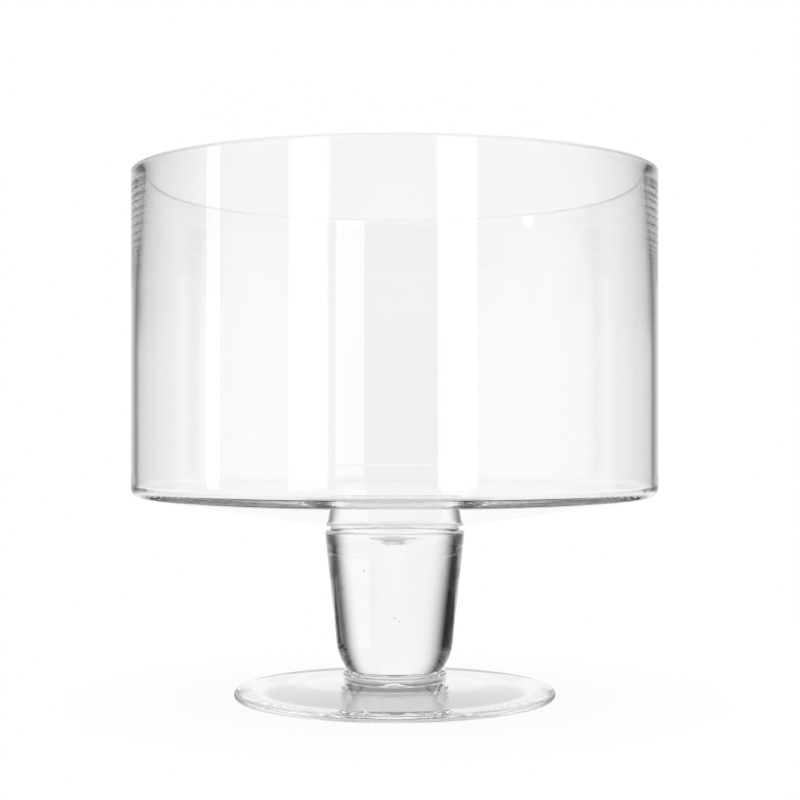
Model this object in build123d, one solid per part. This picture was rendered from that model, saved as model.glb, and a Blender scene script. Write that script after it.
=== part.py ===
from build123d import *
import math
import os

# Driving sizes, in millimetres and degrees. Z = 0 is the table, and Z is the axis of every piece.

# Foot: a disc, thin and rounded at its edge, rising to the middle over a shallow dome
FOOT_DIAMETER = 122.6
FOOT_EDGE = 2.6
FOOT_RISE = 5.4
FOOT_HOLLOW_DEPTH = 4.7
FOOT_REST_WIDTH = 7.0

# Foot wafer: the bead of glass that sticks the stem to the foot
FOOT_WAFER_DIAMETER = 40.6
FOOT_WAFER_THICKNESS = 2.6

# Stem: a solid tapered plug with a small shoulder and a rounded lower end
STEM_LENGTH = 53.1
STEM_SHOULDER_DIAMETER = 53.8
STEM_TAPER_DEG = 6.2
STEM_SHOULDER_ROUND = 1.3
STEM_LOWER_ROUND_HEIGHT = 10.2
STEM_BOTTOM_DIAMETER = 36.8

# Neck wafer: the thin disc of glass that sticks the bowl to the stem
NECK_WAFER_DIAMETER = 49.6
NECK_WAFER_THICKNESS = 1.6

# Bowl: a blown cylinder whose wall thickens to the rim, with a floor that sinks to the middle
BOWL_DIAMETER = 200.0
BOWL_HEIGHT = 134.3
BOWL_WALL = 2.4
BOWL_LIP = 4.6
BOWL_LIP_TAPER = 37.0
BOWL_LIP_BLEND = 300.0
BOWL_RIM_ROUND = 1.0
BOWL_FLOOR = 2.9
BOWL_FLOOR_SLOPE_DEG = 9.0
BOWL_OUTER_CORNER = 4.0
BOWL_INNER_CORNER = 2.2

# Margin of each flat seat around the wafer that is stuck to it
SEAT_MARGIN = 0.7

# Share of a thin edge's thickness that its rounding takes on each side
EDGE_ROUND_SHARE = 0.47

# Levels, stacked from the table up: each piece stands on the one below it
FOOT_TOP_Z = FOOT_EDGE + FOOT_RISE
STEM_BOTTOM_Z = FOOT_TOP_Z + FOOT_WAFER_THICKNESS
STEM_TOP_Z = STEM_BOTTOM_Z + STEM_LENGTH
BOWL_SEAT_Z = STEM_TOP_Z + NECK_WAFER_THICKNESS
RIM_Z = BOWL_SEAT_Z + BOWL_HEIGHT


def spin(half_outline, rounded_corners, node):
    """Round the listed corners of a half outline and spin it about Z into one named solid."""
    half = make_face(half_outline)
    for corner, radius in rounded_corners:
        half = fillet(half.vertices().sort_by_distance(corner)[0], radius)
    solid = revolve(Plane.XZ * half, Axis.Z, 360)
    solid.label = node
    return solid


def foot():
    """Disc with a rounded edge, a conical top and a domed underside that leaves a flat rest ring."""
    outer = FOOT_DIAMETER / 2
    edge_round = FOOT_EDGE * EDGE_ROUND_SHARE
    rest_inner = outer - edge_round - FOOT_REST_WIDTH
    seat = FOOT_WAFER_DIAMETER / 2 + SEAT_MARGIN
    dome = TangentArc((0, FOOT_HOLLOW_DEPTH), (rest_inner, 0), tangent=(1, 0))
    rest = Polyline((rest_inner, 0), (outer, 0), (outer, FOOT_EDGE))
    top = Polyline((outer, FOOT_EDGE), (seat, FOOT_TOP_Z), (0, FOOT_TOP_Z), (0, FOOT_HOLLOW_DEPTH))
    rounded = [((outer, 0), edge_round), ((outer, FOOT_EDGE), edge_round)]
    return spin(dome + rest + top, rounded, "foot")


def foot_wafer():
    """Bead between the foot and the stem, rounded all along its edge."""
    outer = FOOT_WAFER_DIAMETER / 2
    edge_round = FOOT_WAFER_THICKNESS * EDGE_ROUND_SHARE
    low = (outer, FOOT_TOP_Z)
    high = (outer, STEM_BOTTOM_Z)
    outline = Polyline((0, FOOT_TOP_Z), low, high, (0, STEM_BOTTOM_Z), close=True)
    return spin(outline, [(low, edge_round), (high, edge_round)], "foot_wafer")


def stem():
    """Solid taper that runs in without a break to its rounded lower end."""
    shoulder = STEM_SHOULDER_DIAMETER / 2
    bottom = STEM_BOTTOM_DIAMETER / 2
    taper = math.tan(math.radians(STEM_TAPER_DEG))
    run_in_z = STEM_BOTTOM_Z + STEM_LOWER_ROUND_HEIGHT
    run_in = (shoulder - (STEM_TOP_Z - run_in_z) * taper, run_in_z)
    shoulder_corner = (shoulder, STEM_TOP_Z)
    lower_end = TangentArc(run_in, (bottom, STEM_BOTTOM_Z), tangent=(-taper, -1))
    bottom_face = Polyline((bottom, STEM_BOTTOM_Z), (0, STEM_BOTTOM_Z), (0, STEM_TOP_Z))
    side = Polyline((0, STEM_TOP_Z), shoulder_corner, run_in)
    return spin(lower_end + bottom_face + side, [(shoulder_corner, STEM_SHOULDER_ROUND)], "stem")


def neck_wafer():
    """Thin disc between the stem and the bowl."""
    outer = NECK_WAFER_DIAMETER / 2
    outline = Polyline((0, STEM_TOP_Z), (outer, STEM_TOP_Z), (outer, BOWL_SEAT_Z), (0, BOWL_SEAT_Z), close=True)
    return spin(outline, [], "neck_wafer")


def bowl():
    """Thin shell: the floor's inside runs square to its underside, and the wall's leans in to a thick lip."""
    outer = BOWL_DIAMETER / 2
    inner = outer - BOWL_WALL
    lip = outer - BOWL_LIP
    seat = NECK_WAFER_DIAMETER / 2 + SEAT_MARGIN
    slope = math.tan(math.radians(BOWL_FLOOR_SLOPE_DEG))
    cosine = math.cos(math.radians(BOWL_FLOOR_SLOPE_DEG))
    floor_z = BOWL_SEAT_Z + BOWL_FLOOR
    flat = seat - BOWL_FLOOR * (1 - cosine) / (cosine * slope)
    under_corner = (outer, BOWL_SEAT_Z + (outer - seat) * slope)
    floor_corner = (inner, floor_z + (inner - flat) * slope)
    lip_foot = (inner, RIM_Z - BOWL_LIP_TAPER)
    outline = Polyline(
        (0, BOWL_SEAT_Z),
        (seat, BOWL_SEAT_Z),
        under_corner,
        (outer, RIM_Z),
        (lip, RIM_Z),
        lip_foot,
        floor_corner,
        (flat, floor_z),
        (0, floor_z),
        close=True,
    )
    rounded = [
        (under_corner, BOWL_OUTER_CORNER),
        (floor_corner, BOWL_INNER_CORNER),
        (lip_foot, BOWL_LIP_BLEND),
        ((outer, RIM_Z), BOWL_RIM_ROUND),
        ((lip, RIM_Z), BOWL_RIM_ROUND),
    ]
    return spin(outline, rounded, "bowl")


os.makedirs("parts", exist_ok=True)
for piece in (foot(), foot_wafer(), stem(), neck_wafer(), bowl()):
    export_step(piece, f"parts/{piece.label}.step")
    box = piece.bounding_box()
    print(piece.label, round(piece.volume / 1000, 1), "cm3", box.min, box.max)
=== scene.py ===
import math

import bmesh
import bpy
from mathutils import Matrix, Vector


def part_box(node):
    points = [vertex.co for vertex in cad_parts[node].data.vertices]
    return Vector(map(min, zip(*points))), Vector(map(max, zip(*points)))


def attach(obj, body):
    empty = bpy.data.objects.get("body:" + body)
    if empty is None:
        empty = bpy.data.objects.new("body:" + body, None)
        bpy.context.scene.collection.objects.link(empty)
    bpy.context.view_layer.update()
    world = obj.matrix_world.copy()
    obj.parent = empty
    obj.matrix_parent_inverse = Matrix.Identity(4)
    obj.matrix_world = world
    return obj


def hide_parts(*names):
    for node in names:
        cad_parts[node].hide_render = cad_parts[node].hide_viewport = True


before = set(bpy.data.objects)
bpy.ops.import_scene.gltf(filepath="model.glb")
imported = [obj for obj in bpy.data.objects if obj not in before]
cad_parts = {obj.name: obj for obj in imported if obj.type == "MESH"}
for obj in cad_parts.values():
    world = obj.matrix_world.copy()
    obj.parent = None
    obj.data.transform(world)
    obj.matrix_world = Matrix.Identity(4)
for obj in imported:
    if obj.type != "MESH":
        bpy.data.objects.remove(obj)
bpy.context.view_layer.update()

scene = bpy.context.scene

# Foot: a round disc of clear glass, shaped while hot and fire-polished at its thin edge.
# Its top rises to the middle, and a shallow dome underneath leaves a ring that it stands on.
FOOT_EDGE = 0.0026
FOOT_REST = 0.0070
FOOT_DOME = 0.0047
DOME_STEPS = 14
EDGE_ROUND_SHARE = 0.47
SEAT_MARGIN = 0.0007
GLASS_IOR = 1.5
STRIAE_SCALE = 90.0
STRIAE_STRETCH = (1.0, 1.0, 0.12)
RIPPLE_HEIGHT = 0.00001
SEGMENTS = 360
ARC_STEPS = 8
LONGEST_RUN = 0.004
SHARP_EDGE = math.radians(30)
TOUCHING = 1e-6
SEAM, EXTRA = 1, 2

clear_glass = bpy.data.materials.new("clear_glass")
clear_glass.use_nodes = True
nodes, links = clear_glass.node_tree.nodes, clear_glass.node_tree.links
shader = nodes["Principled BSDF"]
shader.inputs["Base Color"].default_value = (1.0, 1.0, 1.0, 1)
shader.inputs["Roughness"].default_value = 0.0
shader.inputs["IOR"].default_value = GLASS_IOR
shader.inputs["Transmission Weight"].default_value = 1.0
place = nodes.new("ShaderNodeTexCoord")
stretch = nodes.new("ShaderNodeMapping")
stretch.inputs["Scale"].default_value = STRIAE_STRETCH
links.new(place.outputs["Object"], stretch.inputs["Vector"])
striae = nodes.new("ShaderNodeTexNoise")
striae.inputs["Scale"].default_value = STRIAE_SCALE
striae.inputs["Detail"].default_value = 2.0
links.new(stretch.outputs["Vector"], striae.inputs["Vector"])
ripple = nodes.new("ShaderNodeBump")
ripple.inputs["Strength"].default_value = 1.0
ripple.inputs["Distance"].default_value = RIPPLE_HEIGHT
links.new(striae.outputs["Fac"], ripple.inputs["Height"])
links.new(ripple.outputs["Normal"], shader.inputs["Normal"])


def blank(name):
    """New material without a surface, with its nodes and links."""
    material = bpy.data.materials.new(name)
    material.use_nodes = True
    tree = material.node_tree
    tree.nodes.remove(tree.nodes["Principled BSDF"])
    return material, tree.nodes, tree.links


fused_seam, nodes, links = blank("fused_seam")
see_through = nodes.new("ShaderNodeBsdfTransparent")
links.new(see_through.outputs["BSDF"], nodes["Material Output"].inputs["Surface"])


def rounded(corners):
    """Outline of (radius, height) points from (radius, height, rounding) corners."""
    soft = []
    for i, (r, z, rounding) in enumerate(corners):
        if rounding == 0:
            soft.append((r, z))
            continue
        before, after = corners[i - 1], corners[(i + 1) % len(corners)]
        ar, az = before[0] - r, before[1] - z
        br, bz = after[0] - r, after[1] - z
        al, bl = math.hypot(ar, az), math.hypot(br, bz)
        ar, az, br, bz = ar / al, az / al, br / bl, bz / bl
        half = math.acos(max(-1, min(1, ar * br + az * bz))) / 2
        reach = rounding / math.tan(half)
        mr, mz = ar + br, az + bz
        ml = math.hypot(mr, mz)
        out = rounding / math.sin(half)
        cr, cz = r + mr / ml * out, z + mz / ml * out
        start = math.atan2(z + az * reach - cz, r + ar * reach - cr)
        end = math.atan2(z + bz * reach - cz, r + br * reach - cr)
        turn = (end - start + math.pi) % (2 * math.pi) - math.pi
        for k in range(ARC_STEPS + 1):
            a = start + turn * k / ARC_STEPS
            soft.append((cr + rounding * math.cos(a), cz + rounding * math.sin(a)))
    outline = [soft[0]]
    for r, z in soft[1:]:
        r0, z0 = outline[-1]
        steps = max(1, round(math.hypot(r - r0, z - z0) / LONGEST_RUN))
        for k in range(1, steps + 1):
            outline.append((r0 + (r - r0) * k / steps, z0 + (z - z0) * k / steps))
    return outline


def lathe(shape, outline):
    """Rings of faces spun about Z from an outline that starts and ends on the axis."""
    rings = []
    for r, z in outline:
        if r < TOUCHING:
            rings.append([shape.verts.new((0, 0, z))])
            continue
        ring = []
        for k in range(SEGMENTS):
            a = 2 * math.pi * k / SEGMENTS
            ring.append(shape.verts.new((r * math.cos(a), r * math.sin(a), z)))
        rings.append(ring)
    faces = []
    for low, high in zip(rings, rings[1:]):
        for k in range(SEGMENTS):
            corners = [
                low[k % len(low)],
                low[(k + 1) % len(low)],
                high[(k + 1) % len(high)],
                high[k % len(high)],
            ]
            face = shape.faces.new(list(dict.fromkeys(corners)))
            face.smooth = True
            faces.append(face)
    bmesh.ops.recalc_face_normals(shape, faces=faces)
    return faces


def spun(name, outline, seams, air):
    """Solid glass piece, clear through at its (height, radius) seams, with pockets of air in it."""
    mesh = bpy.data.meshes.new(name)
    shape = bmesh.new()
    for face in lathe(shape, outline):
        for height, radius in seams:
            flat = all(abs(v.co.z - height) < TOUCHING for v in face.verts)
            inside = all(v.co.xy.length < radius + TOUCHING for v in face.verts)
            if flat and inside:
                face.material_index = SEAM
    for pocket in air:
        bmesh.ops.reverse_faces(shape, faces=pocket(shape))
    for edge in shape.edges:
        if len(edge.link_faces) == 2 and edge.calc_face_angle() > SHARP_EDGE:
            edge.smooth = False
    shape.to_mesh(mesh)
    shape.free()
    piece = bpy.data.objects.new(name, mesh)
    scene.collection.objects.link(piece)
    mesh.materials.append(clear_glass)
    mesh.materials.append(fused_seam)
    return piece


foot_low, foot_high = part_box("foot")
bead_low, bead_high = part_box("foot_wafer")
foot_radius = foot_high.x
foot_round = EDGE_ROUND_SHARE * FOOT_EDGE
rest_inner = foot_radius - foot_round - FOOT_REST
bead_radius = bead_high.x
bead_contact = bead_radius - EDGE_ROUND_SHARE * (bead_high.z - bead_low.z)
dome_curve = (rest_inner ** 2 + FOOT_DOME ** 2) / (2 * FOOT_DOME)
dome = []
for k in range(DOME_STEPS + 1):
    r = rest_inner * k / DOME_STEPS
    dome.append((r, FOOT_DOME - (dome_curve - math.sqrt(dome_curve ** 2 - r ** 2)), 0))
foot_outline = rounded([
    *dome,
    (foot_radius, 0, foot_round),
    (foot_radius, FOOT_EDGE, foot_round),
    (bead_radius + SEAT_MARGIN, foot_high.z, 0),
    (bead_contact, foot_high.z, 0),
    (0, foot_high.z, 0),
])
foot = spun("foot_disc", foot_outline, [(foot_high.z, bead_contact)], [])
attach(foot, "root")
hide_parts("foot")

# Foot wafer: a small bead of clear glass between the foot and the stem, in two rounded turns.
# It is laid on hot, melts into both, and stands out as a ring with a fine groove round it.
BEAD_CREST = 0.0007
BEAD_GROOVE = 0.0011
UPPER_INSET = 0.0002
LOWER_TURN_ROUND = 0.0004
GROOVE_ROUND = 0.0002
UPPER_TURN_ROUND = 0.00035
STEM_BOTTOM = 0.0184
bead_middle = (bead_low.z + bead_high.z) / 2
bead_outline = rounded([
    (0, bead_low.z, 0),
    (bead_contact, bead_low.z, 0),
    (bead_radius, bead_low.z + BEAD_CREST, LOWER_TURN_ROUND),
    (bead_radius - BEAD_GROOVE, bead_middle, GROOVE_ROUND),
    (bead_radius - UPPER_INSET, bead_high.z - BEAD_CREST, UPPER_TURN_ROUND),
    (STEM_BOTTOM, bead_high.z, 0),
    (0, bead_high.z, 0),
])
bead_seams = [(bead_low.z, bead_contact), (bead_high.z, STEM_BOTTOM)]
bead = spun("foot_bead", bead_outline, bead_seams, [])
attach(bead, "root")
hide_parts("foot_wafer")

# Stem: a solid plug of clear glass, drawn down to a taper and rounded in at its lower end.
# A blister of air stayed under the joint at its top, and a few seeds are left in the glass.
STEM_TAPER = math.tan(math.radians(6.2))
STEM_SHOULDER = 0.0269
SHOULDER_ROUND = 0.0013
RUN_IN = 0.0102
LOWER_END_STEPS = 16
BLISTER = [
    (0, 0.0047, 0),
    (0.0022, 0.0045, 0.001),
    (0.0040, 0.0034, 0.002),
    (0.0074, 0.0024, 0.006),
    (0.0112, 0.0008, 0),
    (0.0110, 0.0006, 0),
    (0, 0.0006, 0),
]
BLISTER_SPREAD = 1.18
SEEDS = [
    (-0.0085, -0.004, 0.0494, 0.00035),
    (0.0, -0.006, 0.0317, 0.00045),
    (0.0012, -0.004, 0.0305, 0.00025),
]
stem_low, stem_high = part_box("stem")
neck_low, neck_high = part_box("neck_wafer")
neck_radius = neck_high.x
run_in_z = stem_low.z + RUN_IN
run_in_r = STEM_SHOULDER - (stem_high.z - run_in_z) * STEM_TAPER
slant = math.hypot(1, STEM_TAPER)
normal_r, normal_z = -1 / slant, STEM_TAPER / slant
dr, dz = STEM_BOTTOM - run_in_r, stem_low.z - run_in_z
curve = (dr * dr + dz * dz) / (2 * (dr * normal_r + dz * normal_z))
centre_r, centre_z = run_in_r + normal_r * curve, run_in_z + normal_z * curve
first = math.atan2(stem_low.z - centre_z, STEM_BOTTOM - centre_r)
last = math.atan2(run_in_z - centre_z, run_in_r - centre_r)
lower_end = []
for k in range(LOWER_END_STEPS + 1):
    a = first + (last - first) * k / LOWER_END_STEPS
    lower_end.append((centre_r + curve * math.cos(a), centre_z + curve * math.sin(a), 0))
stem_outline = rounded([
    (0, stem_low.z, 0),
    *lower_end,
    (STEM_SHOULDER, stem_high.z, SHOULDER_ROUND),
    (neck_radius, stem_high.z, 0),
    (0, stem_high.z, 0),
])


def blister(shape):
    """Thin pocket of air under the stem's top, uneven all round, with a drop in its middle."""
    faces = lathe(shape, rounded([(r, stem_high.z - depth, soft) for r, depth, soft in BLISTER]))
    for vert in {vert for face in faces for vert in face.verts}:
        a = math.atan2(vert.co.y, vert.co.x)
        uneven = 0.06 * math.sin(2 * a + 1.1) + 0.08 * math.sin(5 * a + 0.4)
        vert.co.xy *= BLISTER_SPREAD + uneven
    return faces


def seed(x, y, z, radius):
    """Maker of a tiny bubble in the glass."""
    def make(shape):
        spot = Matrix.Translation((x, y, z))
        ball = bmesh.ops.create_icosphere(shape, subdivisions=3, radius=radius, matrix=spot)
        faces = {face for vert in ball["verts"] for face in vert.link_faces}
        for face in faces:
            face.smooth = True
        return list(faces)
    return make


stem_seams = [(stem_low.z, STEM_BOTTOM), (stem_high.z, neck_radius)]
stem = spun("stem_plug", stem_outline, stem_seams, [blister, *(seed(*bubble) for bubble in SEEDS)])
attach(stem, "root")
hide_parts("stem")

# Neck wafer: a thin disc of clear glass between the stem and the bowl.
# It is laid on hot as well, and shows as a narrow groove over the stem's shoulder.
neck_outline = rounded([
    (0, neck_low.z, 0),
    (neck_radius, neck_low.z, 0),
    (neck_radius, neck_high.z, 0),
    (0, neck_high.z, 0),
])
neck_seams = [(neck_low.z, neck_radius), (neck_high.z, neck_radius)]
neck = spun("neck_disc", neck_outline, neck_seams, [])
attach(neck, "root")
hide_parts("neck_wafer")

# Bowl: a straight cylinder of clear blown glass with a fire-polished rim and a sinking floor.
# The wall is thin, thickens towards the rim, and turns into the floor by a small round corner.
WALL = 0.0024
LIP = 0.0046
LIP_TAPER = 0.037
LIP_BLEND = 0.300
RIM_ROUND = 0.0010
RIM_BAND = 0.0011
RIM_ROUGHNESS = 0.35
FLOOR = 0.0029
FLOOR_SLOPE = math.radians(9.0)
OUTER_CORNER = 0.004
INNER_CORNER = 0.0022
bowl_low, bowl_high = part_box("bowl")
bowl_radius = bowl_high.x
inner = bowl_radius - WALL
seat = neck_radius + SEAT_MARGIN
rise = math.tan(FLOOR_SLOPE)
floor_z = bowl_low.z + FLOOR
flat = seat - FLOOR * (1 - math.cos(FLOOR_SLOPE)) / math.sin(FLOOR_SLOPE)
bowl_outline = rounded([
    (0, bowl_low.z, 0),
    (neck_radius, bowl_low.z, 0),
    (seat, bowl_low.z, 0),
    (bowl_radius, bowl_low.z + (bowl_radius - seat) * rise, OUTER_CORNER),
    (bowl_radius, bowl_high.z, RIM_ROUND),
    (bowl_radius - LIP, bowl_high.z, RIM_ROUND),
    (inner, bowl_high.z - LIP_TAPER, LIP_BLEND),
    (inner, floor_z + (inner - flat) * rise, INNER_CORNER),
    (flat, floor_z, 0),
    (0, floor_z, 0),
])
bowl = spun("bowl_shell", bowl_outline, [(bowl_low.z, neck_radius)], [])
rim_glass = clear_glass.copy()
rim_glass.name = "rim_glass"
rim_glass.node_tree.nodes["Principled BSDF"].inputs["Roughness"].default_value = RIM_ROUGHNESS
bowl.data.materials.append(rim_glass)
for face in bowl.data.polygons:
    if face.center.z > bowl_high.z - RIM_BAND:
        face.material_index = EXTRA
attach(bowl, "root")
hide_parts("bowl")

# Table: a plain pale surface under the foot, which the camera sees as white with a faint shadow.
# Through the glass it shows painted shade instead, given by stops of (distance in metres, tone): a
# painted shadow under the bowl and foot with a painted ring of light round it, lighter beside and behind,
# and in mirror rays a painted reflection that darkens to both sides.
TABLE_RADIUS = 0.35
TABLE_DROP = 0.0002
TABLE_COLOUR = (0.60, 0.59, 0.58, 1)
PAINTED_SHADOW_ALL_ROUND = [
    (0.0, 0.50), (0.040, 0.55), (0.075, 0.52), (0.088, 0.92), (0.115, 0.92), (0.150, 0.85), (0.200, 0.9),
]
PAINTED_LIGHT_BESIDE = [(0.0, 0.0), (0.044, 0.0), (0.049, 0.9), (0.080, 0.9), (0.120, 0.0)]
PAINTED_LIGHT_BEHIND = [(0.0, 0.0), (0.002, 0.0), (0.024, 0.66), (0.060, 0.7), (0.080, 0.0)]
PAINTED_REFLECTION_ASIDE = [(0.0, 0.65), (0.045, 0.60), (0.070, 0.25), (0.090, 0.12), (0.180, 0.05)]
WHITE_SHARE = [(0.0, 0.93), (0.070, 0.95), (0.130, 1.0)]


def ramp(along, span, stops):
    """Tone from (distance, tone) stops along a value that reaches 1 at the span."""
    node = nodes.new("ShaderNodeValToRGB")
    steps = node.color_ramp.elements
    while len(steps) < len(stops):
        steps.new(0.5)
    for step, (distance, tone) in zip(steps, stops):
        step.position = distance / span
        step.color = (tone, tone, tone, 1)
    links.new(along, node.inputs["Fac"])
    return node.outputs["Color"]


def calc(operation, *values):
    """Result of a sum on outputs and plain numbers."""
    node = nodes.new("ShaderNodeMath")
    node.operation = operation
    for socket, value in zip(node.inputs, values):
        if isinstance(value, float):
            socket.default_value = value
        else:
            links.new(value, socket)
    return node.outputs[0]


def blend(share, first, second, how="MIX"):
    """Mix of two tones by a share, each an output or a plain number."""
    node = nodes.new("ShaderNodeMix")
    node.data_type = "RGBA"
    node.blend_type = how
    for socket, value in ((node.inputs[0], share), (node.inputs[6], first), (node.inputs[7], second)):
        if not isinstance(value, float):
            links.new(value, socket)
        elif socket.type == "RGBA":
            socket.default_value = (value, value, value, 1)
        else:
            socket.default_value = value
    return node.outputs[2]


def glow(tone):
    """Surface that shows a tone as it is."""
    node = nodes.new("ShaderNodeEmission")
    if isinstance(tone, float):
        node.inputs["Color"].default_value = (tone, tone, tone, 1)
    else:
        links.new(tone, node.inputs["Color"])
    return node.outputs[0]


def cover(share, under, over):
    """Surface mixed from two others by the share of the second."""
    node = nodes.new("ShaderNodeMixShader")
    links.new(share, node.inputs[0])
    links.new(under, node.inputs[1])
    links.new(over, node.inputs[2])
    return node.outputs[0]


bpy.ops.mesh.primitive_circle_add(
    vertices=96, radius=TABLE_RADIUS, fill_type="NGON", location=(0, 0, -TABLE_DROP))
table = bpy.context.object
table.name = "table"
pale_table = bpy.data.materials.new("pale_table")
pale_table.use_nodes = True
nodes, links = pale_table.node_tree.nodes, pale_table.node_tree.links
cloth = nodes["Principled BSDF"]
cloth.inputs["Base Color"].default_value = TABLE_COLOUR
cloth.inputs["Roughness"].default_value = 0.9
cloth.inputs["Specular IOR Level"].default_value = 0.0
place = nodes.new("ShaderNodeTexCoord")
length = nodes.new("ShaderNodeVectorMath")
length.operation = "LENGTH"
links.new(place.outputs["Object"], length.inputs[0])
reach = length.outputs["Value"]
split = nodes.new("ShaderNodeSeparateXYZ")
links.new(place.outputs["Object"], split.inputs[0])
sideways = calc("ABSOLUTE", split.outputs["X"])
path = nodes.new("ShaderNodeLightPath")
in_glass = calc("MAXIMUM", path.outputs["Is Glossy Ray"], path.outputs["Is Transmission Ray"])
mirror_ray = calc("MINIMUM", path.outputs["Is Glossy Ray"], path.outputs["Is Reflection Ray"])
# Painted shade for rays through the glass: a painted shadow under the bowl and foot, a painted ring of
# light round it, and painted light beside and behind.
through = blend(1.0, ramp(reach, 1, PAINTED_SHADOW_ALL_ROUND), ramp(sideways, 1, PAINTED_LIGHT_BESIDE), "LIGHTEN")
through = blend(1.0, through, ramp(split.outputs["Y"], 1, PAINTED_LIGHT_BEHIND), "LIGHTEN")
# Painted reflection for mirror rays: the table darkens towards both sides.
seen = blend(mirror_ray, through, ramp(sideways, 1, PAINTED_REFLECTION_ASIDE))
cloth_and_painted_shade = cover(in_glass, cloth.outputs[0], glow(seen))
white_share = calc("MULTIPLY", ramp(reach, 1, WHITE_SHARE), path.outputs["Is Camera Ray"])
links.new(cover(white_share, cloth_and_painted_shade, glow(1.0)), nodes["Material Output"].inputs["Surface"])
table.data.materials.append(pale_table)

# Studio room: white for the camera, and dark behind the backdrop, which draws the edges of the glass.
# Each band of height is (slope where it starts, slope where it is full, its light), and the light
# is one tone or stops of (degrees from straight behind, tone), alike on both sides.
BELOW_THROUGH = 1.0
BANDS_THROUGH = [
    (-0.12, -0.09, [(0, 0.03), (70, 0.03), (78, 0.9), (135, 1.0), (160, 0.3)]),
    (0.07, 0.13, [(0, 0.03), (80, 0.03), (95, 0.8), (120, 0.8), (150, 0.2)]),
    (0.20, 0.30, [(0, 0.3), (60, 0.2), (80, 0.05), (95, 0.35), (125, 0.3), (150, 0.1)]),
    (0.30, 0.45, 0.14),
]
BELOW_MIRRORED = 0.6
BANDS_MIRRORED = [
    (-0.12, -0.09, [(0, 0.05), (30, 0.05), (38, 1.0), (140, 1.0), (160, 0.5), (180, 0.4)]),
    (0.03, 0.07, [(0, 0.05), (36, 0.05), (46, 0.6), (90, 0.85), (180, 0.85)]),
    (0.10, 0.20, [(0, 0.3), (45, 0.2), (100, 0.1), (120, 0.65), (180, 0.6)]),
    (0.45, 0.60, 0.6),
]
scene.view_settings.view_transform = "Standard"
scene.cycles.max_bounces = 64
scene.cycles.transmission_bounces = 64
scene.cycles.glossy_bounces = 48
scene.cycles.transparent_max_bounces = 64
world = bpy.data.worlds.new("studio")
scene.world = world
world.use_nodes = True
nodes, links = world.node_tree.nodes, world.node_tree.links
look = nodes.new("ShaderNodeTexCoord")
split = nodes.new("ShaderNodeSeparateXYZ")
links.new(look.outputs["Generated"], split.inputs[0])
turn = calc("ARCTAN2", split.outputs["X"], split.outputs["Y"])
half_turn_share = calc("DIVIDE", calc("ABSOLUTE", turn), math.pi)


def eased(value, low, high):
    """Share that grows smoothly from 0 to 1 as a value rises between two levels."""
    node = nodes.new("ShaderNodeMapRange")
    node.interpolation_type = "SMOOTHSTEP"
    node.inputs["From Min"].default_value = low
    node.inputs["From Max"].default_value = high
    links.new(value, node.inputs["Value"])
    return node.outputs["Result"]


def room(below, bands):
    """Light of the room, from the floor up through its bands."""
    light = below
    for low, high, stops in bands:
        band = stops if isinstance(stops, float) else ramp(half_turn_share, 180, stops)
        light = blend(eased(split.outputs["Z"], low, high), light, band)
    return light


path = nodes.new("ShaderNodeLightPath")
mirror_ray = calc("MINIMUM", path.outputs["Is Glossy Ray"], path.outputs["Is Reflection Ray"])
light = blend(path.outputs["Is Transmission Ray"], 1.0, room(BELOW_THROUGH, BANDS_THROUGH))
light = blend(mirror_ray, light, room(BELOW_MIRRORED, BANDS_MIRRORED))
links.new(light, nodes["Background"].inputs["Color"])

# Softboxes: three upright lamps in front of the bowl, which show as bright bands on its wall.
# The narrow one at the side shows in the outer surface alone.
SOFTBOX_DISTANCE = 0.56
SOFTBOX_HEIGHT = 0.36
SOFTBOX_MIDDLE = 0.225


def softbox(name, azimuth, width, radiance):
    """Upright softbox that faces the bowl, at an angle in degrees from the camera's side."""
    lamp_data = bpy.data.lights.new(name, "AREA")
    lamp_data.shape = "RECTANGLE"
    lamp_data.size = width
    lamp_data.size_y = SOFTBOX_HEIGHT
    lamp_data.energy = radiance * math.pi * width * SOFTBOX_HEIGHT
    lamp = bpy.data.objects.new(name, lamp_data)
    a = math.radians(azimuth)
    lamp.location = (math.sin(a) * SOFTBOX_DISTANCE, -math.cos(a) * SOFTBOX_DISTANCE, SOFTBOX_MIDDLE)
    lamp.rotation_euler = (math.radians(90), 0, a)
    lamp.visible_camera = False
    scene.collection.objects.link(lamp)
    return lamp


softbox("softbox_left", -32.7, 0.15, 1.55)
softbox("softbox_right", 23.8, 0.15, 1.55)
strip = softbox("softbox_side", -74.5, 0.069, 1.9)
strip.visible_transmission = False

# Backdrop: a sheet of white paper behind the bowl, seen through the glass and in it.
# It thins out to both sides, so that the wall darkens softly to its edges.
BACKDROP_WIDTH = 0.50
BACKDROP_HEIGHT = 0.310
BACKDROP_PLACE = (0, 0.177, 0.145)
BACKDROP_TONE = 0.96
BACKDROP_COVER = [
    (0.0, 1.0), (0.100, 0.98), (0.130, 0.89), (0.155, 0.74), (0.190, 0.40), (0.240, 0.02), (0.250, 0.0),
]


def upright_sheet(name, width, height, location):
    """Upright sheet that faces the camera, for the glass alone: it casts no shadow and lights nothing."""
    bpy.ops.mesh.primitive_plane_add(size=1, location=location, rotation=(math.radians(90), 0, 0))
    sheet = bpy.context.object
    sheet.name = name
    sheet.scale = (width, height, 1)
    sheet.visible_camera = False
    sheet.visible_diffuse = False
    sheet.visible_shadow = False
    return sheet


def off_centre():
    """Distance from a sheet's middle line, as a share of its width."""
    where = nodes.new("ShaderNodeTexCoord")
    parts = nodes.new("ShaderNodeSeparateXYZ")
    links.new(where.outputs["Object"], parts.inputs[0])
    return calc("ABSOLUTE", parts.outputs["X"])


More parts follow.
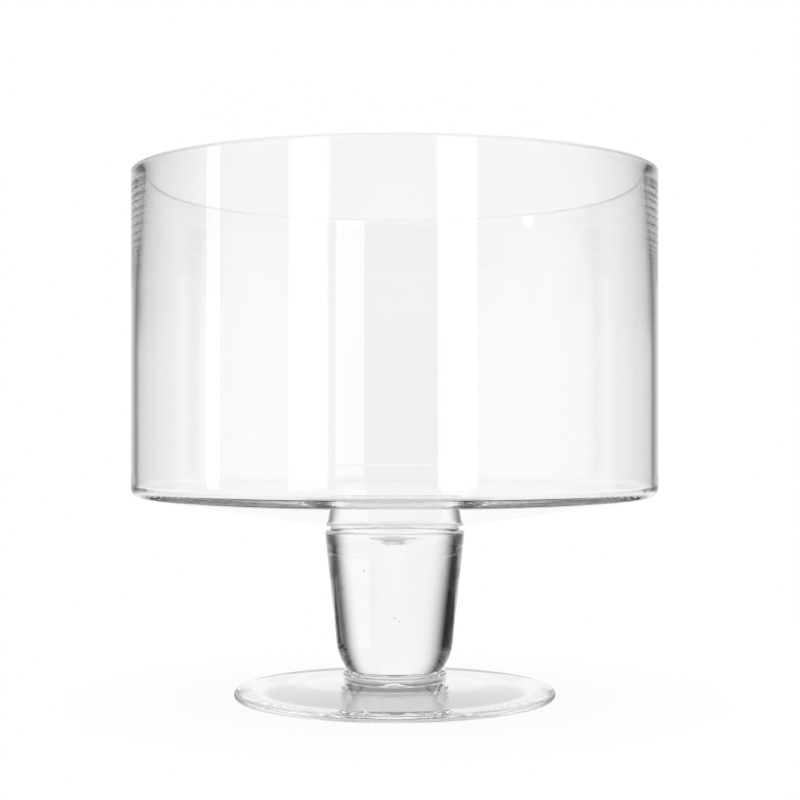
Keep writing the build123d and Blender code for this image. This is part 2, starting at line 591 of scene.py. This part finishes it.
backdrop = upright_sheet("backdrop", BACKDROP_WIDTH, BACKDROP_HEIGHT, BACKDROP_PLACE)
paper, nodes, links = blank("backdrop_paper")
thickness = ramp(off_centre(), BACKDROP_WIDTH, BACKDROP_COVER)
gap = nodes.new("ShaderNodeBsdfTransparent").outputs[0]
sheet_surface = cover(thickness, gap, glow(BACKDROP_TONE))
links.new(sheet_surface, nodes["Material Output"].inputs["Surface"])
backdrop.data.materials.append(paper)

# Flags: strips of black velvet beside and behind the stem, which draw its dark sides.
# Only rays that go straight through one piece of glass meet them, so the bowl over them stays clear.
FLAGS_WIDTH = 0.24
FLAGS_HEIGHT = 0.067
FLAGS_PLACE = (0.002, 0.066, FLAGS_HEIGHT / 2)
FLAGS_START = 0.0125
FLAGS_FULL = 0.0420
FLAGS_TONE = 0.01
DEEPEST_RAY = 2.5
flags = upright_sheet("flags", FLAGS_WIDTH, FLAGS_HEIGHT, FLAGS_PLACE)
flags.visible_glossy = False
velvet, nodes, links = blank("black_velvet")
path = nodes.new("ShaderNodeLightPath")
straight = calc("LESS_THAN", path.outputs["Ray Depth"], DEEPEST_RAY)
strips = eased(off_centre(), FLAGS_START / FLAGS_WIDTH, FLAGS_FULL / FLAGS_WIDTH)
gap = nodes.new("ShaderNodeBsdfTransparent").outputs[0]
strip_surface = cover(calc("MULTIPLY", strips, straight), gap, glow(FLAGS_TONE))
links.new(strip_surface, nodes["Material Output"].inputs["Surface"])
flags.data.materials.append(velvet)

# Camera: level, a little under the middle of the bowl's wall, as the photograph was taken.
# Its lens and its shift put the rim, the base and the foot where they are in the picture.
IMAGE_WIDTH = 800
FOCAL_PIXELS = 1734
HORIZON_ROW = 419
SENSOR_WIDTH = 36
CAMERA_PLACE = (0.002, -0.665, 0.1061)
camera_data = bpy.data.cameras.new("camera")
camera = bpy.data.objects.new("camera", camera_data)
scene.collection.objects.link(camera)
scene.camera = camera
camera_data.sensor_width = SENSOR_WIDTH
camera_data.lens = SENSOR_WIDTH * FOCAL_PIXELS / IMAGE_WIDTH
camera_data.shift_y = (HORIZON_ROW - IMAGE_WIDTH / 2) / IMAGE_WIDTH
camera_data.clip_start = 0.01
camera.location = CAMERA_PLACE
camera.rotation_euler = (math.radians(90), 0, 0)
